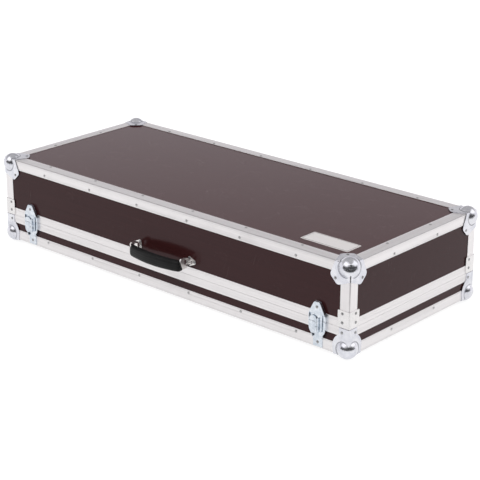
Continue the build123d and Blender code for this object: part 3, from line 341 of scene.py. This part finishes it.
def badge():
    """A bare satin plate with a fine sunk border line."""
    g = Graph("badge")
    low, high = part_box("badge_plate")
    dx = g.math("MINIMUM", g.math("SUBTRACT", g.axis(0), low.x), g.math("SUBTRACT", high.x, g.axis(0)))
    dy = g.math("MINIMUM", g.math("SUBTRACT", g.axis(1), low.y), g.math("SUBTRACT", high.y, g.axis(1)))
    d = g.math("MINIMUM", dx, dy)
    border = g.line(d, 0.0030, 0.00045, 0.00025)
    brush = g.noise((14, 2600, 400), 3.0, 0.6)
    cloud = g.noise(30, 3.0, 0.5)
    colour = g.mix(g.span(brush, 0.3, 0.7), (0.80, 0.775, 0.765), (0.87, 0.845, 0.835))
    colour = g.mix(g.math("MULTIPLY", g.span(cloud, 0.5, 0.8), 0.25), colour, (0.74, 0.715, 0.705))
    colour = g.mix(g.math("MULTIPLY", border, 0.85), colour, (0.045, 0.042, 0.042))
    r = g.math("ADD", 0.34, g.math("MULTIPLY", brush, 0.12))
    normal = g.bump(brush, 0.00002, 0.4)
    normal = g.bump(g.math("SUBTRACT", 1.0, border), 0.0003, 0.8, normal)
    g.set(Base_Color=colour, Roughness=r, Normal=normal)
    g.shader.inputs["Metallic"].default_value = 0.75
    return g.material


def grip_plastic():
    """Black moulded plastic with a fine leather-like grain."""
    g = Graph("grip_plastic")
    grain = g.cells(1150, "F1", spread=1.0)
    soft = g.noise(60, 3.0, 0.5)
    colour = g.mix(g.span(soft, 0.35, 0.7), (0.0065, 0.0065, 0.0068), (0.0105, 0.0105, 0.0108))
    r = g.math("ADD", 0.36, g.math("MULTIPLY", g.noise(240, 3.0, 0.6), 0.16))
    normal = g.bump(grain, 0.00010, 0.45)
    normal = g.bump(soft, 0.0002, 0.2, normal)
    g.set(Base_Color=colour, Roughness=r, Normal=normal)
    g.shader.inputs["IOR"].default_value = 1.5
    g.shader.inputs["Specular IOR Level"].default_value = 0.19
    return g.material


def foam():
    """Charcoal closed-cell foam with open pores on its cut faces."""
    g = Graph("foam_lining")
    pores = g.cells(700, "F1", spread=1.0)
    small = g.cells(1500, "F1", spread=1.0)
    cloud = g.noise(18, 4.0, 0.6)
    hollow = g.math("MULTIPLY", g.span(pores, 0.15, 0.75), g.span(small, 0.05, 0.6))
    # painted shade: the pores are painted darker, as shade inside them
    colour = g.mix(hollow, (0.010, 0.010, 0.011), (0.040, 0.040, 0.043))
    colour = g.mix(g.math("MULTIPLY", g.span(cloud, 0.45, 0.75), 0.35), colour, (0.055, 0.055, 0.058))
    normal = g.bump(hollow, 0.0006, 0.7)
    normal = g.bump(cloud, 0.0015, 0.25, normal)
    g.set(Base_Color=colour, Normal=normal)
    g.shader.inputs["Roughness"].default_value = 0.92
    g.shader.inputs["Sheen Weight"].default_value = 0.18
    g.shader.inputs["Sheen Roughness"].default_value = 0.5
    return g.material


BROWN = laminate()
EDGE_X = edging(0, (0.0265, 0.0234))
EDGE_X.name = "edging_lid_x"
EDGE_Y = edging(1, (0.0265, 0.0234))
EDGE_Y.name = "edging_lid_y"
BASE_X = edging(0, (0.0260, 0.0246))
BASE_X.name = "edging_base_x"
BASE_Y = edging(1, (0.0260, 0.0246))
BASE_Y.name = "edging_base_y"
UPRIGHT = edging(2)
BAND_X = edging(0)
BAND_X.name = "closure_x"
BAND_Y = edging(1)
BAND_Y.name = "closure_y"
ZINC = plated("zinc_steel", (0.80, 0.805, 0.845), (0.64, 0.65, 0.71), 0.19, 46, worn=(0.72, 0.715, 0.745), ball=(0.0130, 0.0220))
BRACE = plated("brace_steel", (0.84, 0.825, 0.825), (0.74, 0.73, 0.73), 0.24, 60, worn=(0.78, 0.765, 0.76))
LATCH = plated("latch_steel", (0.80, 0.84, 0.89), (0.58, 0.64, 0.71), 0.17, 95, worn=(0.68, 0.71, 0.76))
HINGE = plated("hinge_steel", (0.74, 0.76, 0.80), (0.56, 0.60, 0.66), 0.24, 60)
NICKEL = plated("handle_metal", (0.93, 0.91, 0.895), (0.78, 0.76, 0.74), 0.30, 80, worn=(0.84, 0.81, 0.79))
RIVET = rivets("rivet", (0.30, 0.30, 0.31), (0.46, 0.46, 0.46), (0.27, 0.265, 0.265))
EDGE_RIVET = rivets("edge_rivet", (0.44, 0.435, 0.44), (0.60, 0.595, 0.595), (0.42, 0.41, 0.41))
BADGE = badge()
GRIP = grip_plastic()
FOAM = foam()


def paint(name, material):
    slots = NODES[name].material_slots
    if not slots:
        NODES[name].data.materials.append(material)
        return
    for s in slots:
        s.link = "OBJECT"
        s.material = material


def soften(name, width, angle=32.0, segments=2):
    """Breaks the node's sharp edges with a narrow round."""
    o = NODES[name]
    weld = o.modifiers.new("weld", "WELD")
    weld.merge_threshold = 0.000002
    bevel = o.modifiers.new("bevel", "BEVEL")
    bevel.width = width
    bevel.segments = segments
    bevel.limit_method = "ANGLE"
    bevel.angle_limit = math.radians(angle)
    bevel.use_clamp_overlap = True
    bevel.harden_normals = False
    level = o.modifiers.new("normals", "WEIGHTED_NORMAL")
    level.keep_sharp = False
    level.weight = 60


for n in NODES:
    if n.endswith("_panel"):
        paint(n, BROWN)
    elif n.startswith(("lid_edge_", "base_edge_")) and "rivets" not in n:
        along_x = n.endswith(("front", "back"))
        if n.startswith("lid"):
            paint(n, EDGE_X if along_x else EDGE_Y)
        else:
            paint(n, BASE_X if along_x else BASE_Y)
    elif "closure" in n:
        paint(n, BAND_X if n.endswith(("front", "back")) else BAND_Y)
    elif n.endswith("corner_edges"):
        paint(n, UPRIGHT)
    elif n.endswith("ball_corners"):
        paint(n, ZINC)
    elif n.endswith("corner_braces"):
        paint(n, BRACE)
    elif "rivets" in n:
        paint(n, EDGE_RIVET if "edge" in n else RIVET)
    elif n.startswith("latch_"):
        paint(n, LATCH)
    elif n.startswith("hinge_"):
        paint(n, HINGE)
    elif n.startswith("handle_") and n != "handle_grip":
        paint(n, NICKEL)
    elif n == "badge_plate":
        paint(n, BADGE)


# ---- pieces built here ---------------------------------------------------------

def piece(name, verts, faces, material, body, smooth=True):
    mesh = bpy.data.meshes.new(name)
    mesh.from_pydata([tuple(v) for v in verts], [], faces)
    mesh.validate()
    mesh.update()
    bm = bmesh.new()
    bm.from_mesh(mesh)
    bmesh.ops.recalc_face_normals(bm, faces=bm.faces)
    bm.to_mesh(mesh)
    bm.free()
    for p in mesh.polygons:
        p.use_smooth = smooth
    o = bpy.data.objects.new(name, mesh)
    bpy.context.scene.collection.objects.link(o)
    mesh.materials.append(material)
    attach(o, body)
    return o


def foam_block(name, low, high, face, fill, grid=0.012, crown=0.0009, round_=0.0030):
    """A soft block with rounded, slightly crowned faces; face is the free side's axis and sign."""
    size = high - low
    counts = [max(2, min(90, int(round(size[i] / grid)))) for i in range(3)]
    bm = bmesh.new()
    seen = {}

    def vert(i, j, k):
        key = (i, j, k)
        if key not in seen:
            p = Vector(low[a] + size[a] * t / counts[a] for a, t in enumerate((i, j, k)))
            seen[key] = bm.verts.new(p)
        return seen[key]

    for axis in range(3):
        u, v = (axis + 1) % 3, (axis + 2) % 3
        for end in (0, counts[axis]):
            for a in range(counts[u]):
                for b in range(counts[v]):
                    corners = []
                    for da, db in ((0, 0), (1, 0), (1, 1), (0, 1)):
                        c = [0, 0, 0]
                        c[axis], c[u], c[v] = end, a + da, b + db
                        corners.append(vert(*c))
                    if end == 0:
                        corners.reverse()
                    bm.faces.new(corners)
    axis, sign = face
    others = [i for i in range(3) if i != axis]
    for p in bm.verts:
        co = p.co
        # how near this point is to the rim of the free face, to pull it down there
        edge = min(min(co[i] - low[i], high[i] - co[i]) for i in others)
        free = (co[axis] - low[axis]) / size[axis]
        free = free if sign > 0 else 1 - free
        pull = math.exp(-edge / round_) * round_ * 0.8 + crown * math.exp(-edge / 0.02)
        wave = 0.00022 * math.sin(co[others[0]] * 61 + 1.3) * math.sin(co[others[1]] * 83 + 0.4)
        co[axis] -= sign * free * (pull + wave + 0.00022)
        for i in others:
            near = co[i] - low[i] < 1e-7 or high[i] - co[i] < 1e-7
            if near and free > 0.99:
                co[i] += (0.0007 if co[i] - low[i] < 1e-7 else -0.0007)
    mesh = bpy.data.meshes.new(name)
    bm.to_mesh(mesh)
    bm.free()
    for p in mesh.polygons:
        p.use_smooth = True
    mesh.materials.append(FOAM)
    o = bpy.data.objects.new(name, mesh)
    bpy.context.scene.collection.objects.link(o)
    return o


def foam_sides(prefix, body):
    node = prefix + "_foam_sides"
    low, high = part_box(node)
    thick = 0.0100
    made = []
    for side, axis, sign in (("left", 0, 1), ("right", 0, -1), ("front", 1, 1), ("back", 1, -1)):
        a, b = low.copy(), high.copy()
        if sign > 0:
            b[axis] = a[axis] + thick
        else:
            a[axis] = b[axis] - thick
        if axis == 0:
            a.y += thick + 0.0002
            b.y -= thick + 0.0002
        o = foam_block(f"{prefix}_foam_{side}", a, b, (axis, sign), 1.0)
        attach(o, body)
        made.append(o)
    for o in made:
        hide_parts(node)
    return made


foam_sides("lid", "lid")
foam_sides("base", "base")
low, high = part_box("lid_foam_top")
o = foam_block("lid_foam_sheet", low, high, (2, -1), 1.0)
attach(o, "lid"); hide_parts("lid_foam_top")
low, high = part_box("base_foam_floor")
o = foam_block("base_foam_sheet", low, high, (2, 1), 1.0)
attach(o, "base"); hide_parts("base_foam_floor")


def moulded_grip():
    """The grip: an arched bar with two ridges along its top and flutes on its front."""
    low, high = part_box("handle_grip")
    x0, half = (low.x + high.x) / 2, (high.x - low.x) / 2
    z0 = (low.z + high.z) / 2
    tall = high.z - low.z
    deep = 0.0180
    bow = 0.0095
    y_mid = low.y + deep / 2             # the axis at the grip's middle
    verts, faces = [], []
    around = 72
    stations = 96

    def section(k):
        """Points round the section, as (out to the front, up)."""
        pts = []
        a, b = deep / 2 * k, tall / 2 * k
        for i in range(around):
            t = 2 * math.pi * i / around
            c, s = math.cos(t), math.sin(t)
            p = 3.6                       # a squarish superellipse
            r = (abs(c) ** p + abs(s) ** p) ** (-1 / p)
            e, z = a * r * c, b * r * s
            pts.append((e, z, t))
        return pts

    for i in range(stations + 1):
        t = -1 + 2 * i / stations
        t = math.sin(t * math.pi / 2) * 0.35 + t * 0.65
        end = 1 - abs(t)
        k = (1.0 - 0.055 * t * t) * (1 - 0.16 * math.exp(-end / 0.018))
        x = x0 + t * half
        y = y_mid + bow * t * t
        ring = []
        for e, z, ang in section(k):
            # flutes: shallow channels that run along the grip and fade at its ends
            fade = min(1.0, end / 0.10)
            depth = 0.0
            if abs(e) < deep * 0.36 and z > 0:
                depth = 0.00085 * (0.5 - 0.5 * math.cos(2 * math.pi * (e / (deep * 0.24))))
            elif e > 0 and abs(z) < tall * 0.40:
                depth = 0.00045 * (0.5 - 0.5 * math.cos(2 * math.pi * (z / (tall * 0.20))))
            r = math.hypot(e, z)
            s = 1 - fade * depth / max(r, 1e-6)
            ring.append((x, y - e * s, z0 + z * s))
        verts += ring
    for i in range(stations):
        for j in range(around):
            a = i * around + j
            b = i * around + (j + 1) % around
            faces.append((a, b, b + around, a + around))
    for first in (0, stations * around):
        centre = len(verts)
        cx = sum(verts[first + j][0] for j in range(around)) / around
        cy = sum(verts[first + j][1] for j in range(around)) / around
        cz = sum(verts[first + j][2] for j in range(around)) / around
        verts.append((cx, cy, cz))
        for j in range(around):
            faces.append((first + j, first + (j + 1) % around, centre))
    o = piece("handle_grip_moulding", verts, faces, GRIP, "handle")
    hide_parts("handle_grip")
    return o


moulded_grip()

for n in NODES:
    if "rivets" in n or n in ("handle_grip", "hinge_pins") or "foam" in n or n.endswith("_panel"):
        continue
    if n == "handle_loops":
        soften(n, 0.0012, segments=4)
    else:
        soften(n, 0.00025)


# ---- floor, light and camera ----------------------------------------------------

GLOW = (0.80, 0.74)       # in the camera's view, and in reflections


def floor():
    mesh = bpy.data.meshes.new("floor")
    s = 14.0
    mesh.from_pydata([(-s, -s, 0), (s, -s, 0), (s, s, 0), (-s, s, 0)], [], [(0, 1, 2, 3)])
    o = bpy.data.objects.new("floor", mesh)
    bpy.context.scene.collection.objects.link(o)
    g = Graph("floor")
    grain = g.noise(3.0, 2.0, 0.5)
    g.set(Base_Color=g.mix(grain, (0.25, 0.25, 0.25), (0.27, 0.27, 0.27)))
    # a back-lit sweep: it glows, and lights nothing but the reflections by that
    path = g.tree.nodes.new("ShaderNodeLightPath")
    seen = g.math(
        "ADD", g.math("MULTIPLY", path.outputs["Is Camera Ray"], GLOW[0]),
        g.math("MULTIPLY", path.outputs["Is Glossy Ray"], GLOW[1]),
    )
    g.set(Emission_Color=(1.0, 1.0, 1.0, 1.0), Emission_Strength=seen)
    g.shader.inputs["Roughness"].default_value = 0.9
    g.shader.inputs["Specular IOR Level"].default_value = 0.1
    mesh.materials.append(g.material)


floor()

right = Vector((0.74460128, 0.66750317, 0.00290535))
up = Vector((-0.23615559, 0.25935607, 0.93646408))
back = Vector((0.62433922, -0.69797847, 0.35075147))
eye = Vector((2.1954, -2.4157 + Y_MID, 1.2916))
camera = bpy.data.cameras.new("camera")
camera.lens = 114.034
camera.sensor_width = 36.0
camera.clip_end = 60.0
shot = bpy.data.objects.new("camera", camera)
bpy.context.scene.collection.objects.link(shot)
shot.matrix_world = Matrix((
    (right.x, up.x, back.x, eye.x),
    (right.y, up.y, back.y, eye.y),
    (right.z, up.z, back.z, eye.z),
    (0, 0, 0, 1),
))
bpy.context.scene.camera = shot

ROOM = 0.50
HAZE = 0.55                # more, toward the horizon
BOX_LEVEL = 3.6
VEIL = 0.76
BOX_A = (-0.253, -0.675, 0.692)      # above the front's left half
BOX_B = (0.611, 0.464, 0.642)        # above the right end, a little behind

world = bpy.data.worlds.new("studio")
bpy.context.scene.world = world
world.use_nodes = True
t = world.node_tree
t.nodes.clear()
out = t.nodes.new("ShaderNodeOutputWorld")
shade = t.nodes.new("ShaderNodeBackground")
t.links.new(shade.outputs[0], out.inputs[0])
place = t.nodes.new("ShaderNodeTexCoord")


def wmath(op, a, b=0.0, clamp=False):
    n = t.nodes.new("ShaderNodeMath")
    n.operation = op
    n.use_clamp = clamp
    for i, v in enumerate((a, b)):
        if isinstance(v, bpy.types.NodeSocket):
            t.links.new(v, n.inputs[i])
        else:
            n.inputs[i].default_value = v
    return n.outputs[0]


def wspan(value, a, b, to_a, to_b):
    n = t.nodes.new("ShaderNodeMapRange")
    n.interpolation_type = "SMOOTHSTEP"
    t.links.new(value, n.inputs["Value"])
    n.inputs["From Min"].default_value = a
    n.inputs["From Max"].default_value = b
    n.inputs["To Min"].default_value = to_a
    n.inputs["To Max"].default_value = to_b
    return n.outputs[0]


def wsum(op, values):
    total = values[0]
    for v in values[1:]:
        total = wmath(op, total, v)
    return total


split = t.nodes.new("ShaderNodeSeparateXYZ")
t.links.new(place.outputs["Generated"], split.inputs[0])
x, y, z = split.outputs


def along(d):
    return wsum("ADD", [wmath("MULTIPLY", x, d[0]), wmath("MULTIPLY", y, d[1]), wmath("MULTIPLY", z, d[2])])


def panel(toward, wide, tall, soft):
    """1 inside a soft-edged rectangle of the sky, given by its half angles."""
    toward = Vector(toward).normalized()
    side = Vector((0, 0, 1)).cross(toward).normalized()
    over = toward.cross(side)
    depth = wmath("MAXIMUM", along(toward), 0.02)
    u = wmath("ABSOLUTE", wmath("DIVIDE", along(side), depth))
    v = wmath("ABSOLUTE", wmath("DIVIDE", along(over), depth))
    a, b = math.tan(math.radians(wide)), math.tan(math.radians(tall))
    return wsum("MULTIPLY", [
        wspan(u, a + soft, a - soft, 0.0, 1.0), wspan(v, b + soft, b - soft, 0.0, 1.0),
        wspan(along(toward), 0.1, 0.3, 0.0, 1.0),
    ])


# the room behind the photographer is dark, and everything else is pale
flat = wmath("SQRT", wmath("ADD", wmath("MULTIPLY", x, x), wmath("MULTIPLY", y, y)))
ahead = wmath("DIVIDE", wmath("ADD", wmath("MULTIPLY", x, 0.667), wmath("MULTIPLY", y, -0.745)), wmath("ADD", flat, 1e-4))
dark = wmath("MULTIPLY", wspan(ahead, 0.02, 0.20, 0.0, 1.0), wspan(z, 0.48, 0.38, 0.0, 1.0))
haze = wspan(z, 0.15, 0.42, 1.0, 0.0)
pale = wmath("ADD", wmath("MULTIPLY", haze, HAZE), ROOM)
base = wmath("MULTIPLY", pale, wspan(dark, 0.0, 1.0, 1.0, 0.06))
boxes = wmath("ADD", panel(BOX_A, 25, 20, 0.12), panel(BOX_B, 25, 20, 0.12))
# the boxes' mirror images are dimmed, as through a veil
path = t.nodes.new("ShaderNodeLightPath")
veil = wmath("SUBTRACT", 1.0, wmath("MULTIPLY", path.outputs["Is Glossy Ray"], VEIL))
level = wmath("ADD", base, wmath("MULTIPLY", wmath("MULTIPLY", boxes, BOX_LEVEL), veil))
# seen directly, past the sweep's end, the room is as pale as the sweep
level = wmath("MAXIMUM", level, path.outputs["Is Camera Ray"])
t.links.new(level, shade.inputs["Strength"])
cast = t.nodes.new("ShaderNodeMix")
cast.data_type = "RGBA"
t.links.new(haze, cast.inputs["Factor"])
cast.inputs[6].default_value = (1.0, 0.985, 0.995, 1.0)
cast.inputs[7].default_value = (0.985, 0.96, 1.0, 1.0)
white = t.nodes.new("ShaderNodeMix")
white.data_type = "RGBA"
t.links.new(path.outputs["Is Camera Ray"], white.inputs["Factor"])
t.links.new(cast.outputs[2], white.inputs[6])
white.inputs[7].default_value = (1.0, 1.0, 1.0, 1.0)
t.links.new(white.outputs[2], shade.inputs["Color"])


def flag():
    """A dark cloth on the floor toward the photographer, for reflections alone."""
    ahead = Vector((0.667, -0.745, 0.0)).normalized()
    side = Vector((0, 0, 1)).cross(ahead)
    corners = [
        ahead * 0.78 + side * 6, ahead * 0.78 - side * 6,
        ahead * 7.0 - side * 6, ahead * 7.0 + side * 6,
    ]
    mesh = bpy.data.meshes.new("flag")
    mesh.from_pydata([(c.x, c.y, 0.002) for c in corners], [], [(0, 1, 2, 3)])
    o = bpy.data.objects.new("flag", mesh)
    bpy.context.scene.collection.objects.link(o)
    g = Graph("flag")
    g.set(Base_Color=(0.02, 0.02, 0.02, 1.0))
    g.shader.inputs["Roughness"].default_value = 1.0
    mesh.materials.append(g.material)
    o.visible_camera = False
    o.visible_diffuse = False
    o.visible_transmission = False
    o.visible_shadow = False


flag()

scene = bpy.context.scene
scene.view_settings.view_transform = "Standard"
scene.view_settings.look = "None"
scene.view_settings.exposure = 0.0
scene.view_settings.gamma = 1.0
